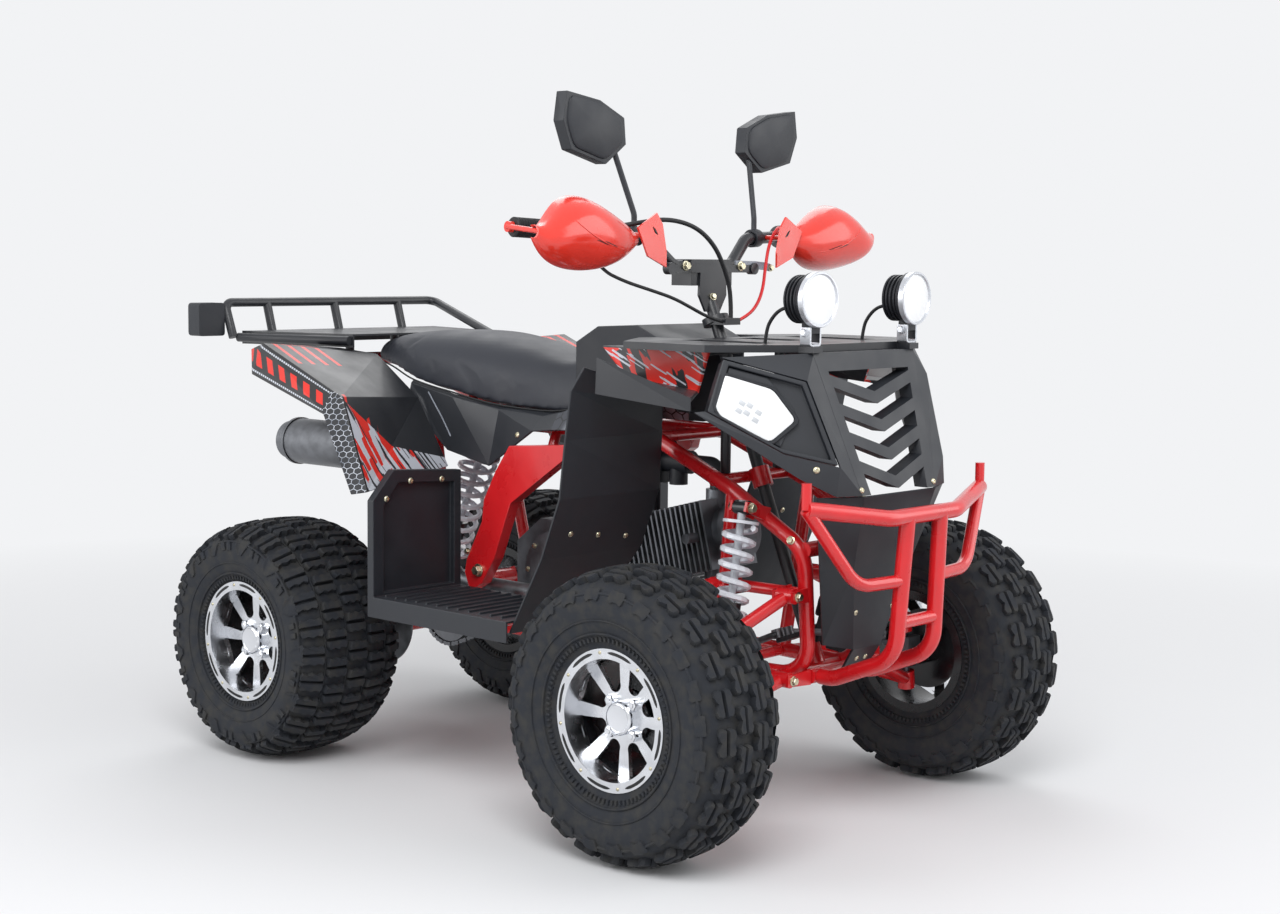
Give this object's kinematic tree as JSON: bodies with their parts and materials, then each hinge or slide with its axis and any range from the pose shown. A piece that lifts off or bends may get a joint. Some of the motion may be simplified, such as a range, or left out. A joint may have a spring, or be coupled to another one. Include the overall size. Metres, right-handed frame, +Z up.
{
  "type": "quad bike",
  "caption": "Small utility quad bike with open steel frame, knobby balloon tyres, front and rear racks, steering linkage and turning wheels.",
  "frame": {"origin": "on the ground, under the middle of the overall length and width", "axes": "+X forward, +Y to the rider's left, +Z up"},
  "size_m": [1.558, 0.99, 1.2364],
  "materials": {
    "tyre_rubber": "moulded rubber, matte",
    "machined_alloy": "machined cast alloy with a clear coat",
    "red_paint": "gloss red powder coat",
    "black_plastic": "fine-grained moulded polypropylene",
    "black_steel": "satin black powder coat",
    "red_plastic": "gloss orange-red moulded plastic",
    "seat_vinyl": "black grained vinyl",
    "engine_alloy": "cast alloy, dark",
    "dark_steel": "dull steel",
    "white_paint": "white powder coat",
    "lamp_lens": "clear lens over a white reflector",
    "tail_lens": "red lens",
    "grip_rubber": "ribbed rubber"
  },
  "bodies": {
    "chassis": {"main_frame": "red_paint", "side_struts": "red_paint", "swingarm": "red_paint", "rear_shock": "white_paint", "chain": "dark_steel", "engine": "engine_alloy", "exhaust": "dark_steel", "intake": "black_plastic", "front_shocks": "white_paint", "suspension_arms_left": "red_paint", "suspension_arms_right": "red_paint", "front_bumper": "red_paint", "fascia": "black_plastic", "grille": "black_plastic", "headlights": "lamp_lens", "front_fender_left": "black_plastic", "front_fender_right": "black_plastic", "mud_flap_left": "black_plastic", "mud_flap_right": "black_plastic", "footrest_left": "black_plastic", "footrest_right": "black_plastic", "rear_fender_left": "black_plastic", "rear_fender_right": "black_plastic", "side_panels": "black_plastic", "seat": "seat_vinyl", "tank_cover": "black_plastic", "front_rack": "black_steel", "rear_rack": "black_steel", "tail_lamp": "tail_lens", "work_lamps": "lamp_lens", "lamp_leads": "grip_rubber"},
    "steering": {"steering_column": "black_steel", "handlebar": "black_steel", "grips": "grip_rubber", "brake_levers": "engine_alloy", "hand_guards": "red_plastic", "inner_shields": "red_plastic", "mirrors": "black_plastic", "control_cables": "grip_rubber"},
    "tie_rod_left": {"tie_rod_left": "dark_steel"},
    "tie_rod_right": {"tie_rod_right": "dark_steel"},
    "knuckle_left": {"knuckle_left": "engine_alloy"},
    "knuckle_right": {"knuckle_right": "engine_alloy"},
    "front_wheel_left": {"tyre_front_left": "tyre_rubber", "rim_front_left": "machined_alloy"},
    "front_wheel_right": {"tyre_front_right": "tyre_rubber", "rim_front_right": "machined_alloy"},
    "rear_axle": {"rear_axle": "dark_steel", "rims_rear": "machined_alloy", "tyre_rear_left": "tyre_rubber", "tyre_rear_right": "tyre_rubber"}
  },
  "joints": [
    {"name": "steering_turn", "type": "hinge", "parent": "chassis", "child": "steering", "pos_m": [0.535, 0, 0.3], "axis": [-0.3752, 0, 0.927], "range_deg": [-35, 35]},
    {"name": "knuckle_left_turn", "type": "hinge", "parent": "chassis", "child": "knuckle_left", "pos_m": [0.511, 0.324, 0.189], "axis": [0, -0.1286, 0.9917], "range_deg": [-30.8, 30.8]},
    {"name": "knuckle_right_turn", "type": "hinge", "parent": "chassis", "child": "knuckle_right", "pos_m": [0.511, -0.324, 0.189], "axis": [0, 0.1286, 0.9917], "range_deg": [-30.8, 30.8]},
    {"name": "tie_rod_left_swing", "type": "hinge", "parent": "steering", "child": "tie_rod_left", "pos_m": [0.4789, 0.013, 0.30534], "axis": [-0.3752, 0, 0.927], "range_deg": [-35, 35]},
    {"name": "tie_rod_right_swing", "type": "hinge", "parent": "steering", "child": "tie_rod_right", "pos_m": [0.4789, -0.013, 0.30534], "axis": [-0.3752, 0, 0.927], "range_deg": [-35, 35]},
    {"name": "front_wheel_left_spin", "type": "hinge", "parent": "knuckle_left", "child": "front_wheel_left", "pos_m": [0.511, 0.406, 0.239], "axis": [0, 1, 0], "continuous": true},
    {"name": "front_wheel_right_spin", "type": "hinge", "parent": "knuckle_right", "child": "front_wheel_right", "pos_m": [0.511, -0.406, 0.239], "axis": [0, 1, 0], "continuous": true},
    {"name": "rear_axle_spin", "type": "hinge", "parent": "chassis", "child": "rear_axle", "pos_m": [-0.479, 0, 0.227], "axis": [0, 1, 0], "continuous": true}
  ],
  "couplings": [
    {"joint": "knuckle_left_turn", "follows": "steering_turn", "ratio": 0.88},
    {"joint": "knuckle_right_turn", "follows": "steering_turn", "ratio": 0.88},
    {"joint": "tie_rod_left_swing", "follows": "steering_turn", "ratio": -1},
    {"joint": "tie_rod_right_swing", "follows": "steering_turn", "ratio": -1}
  ]
}
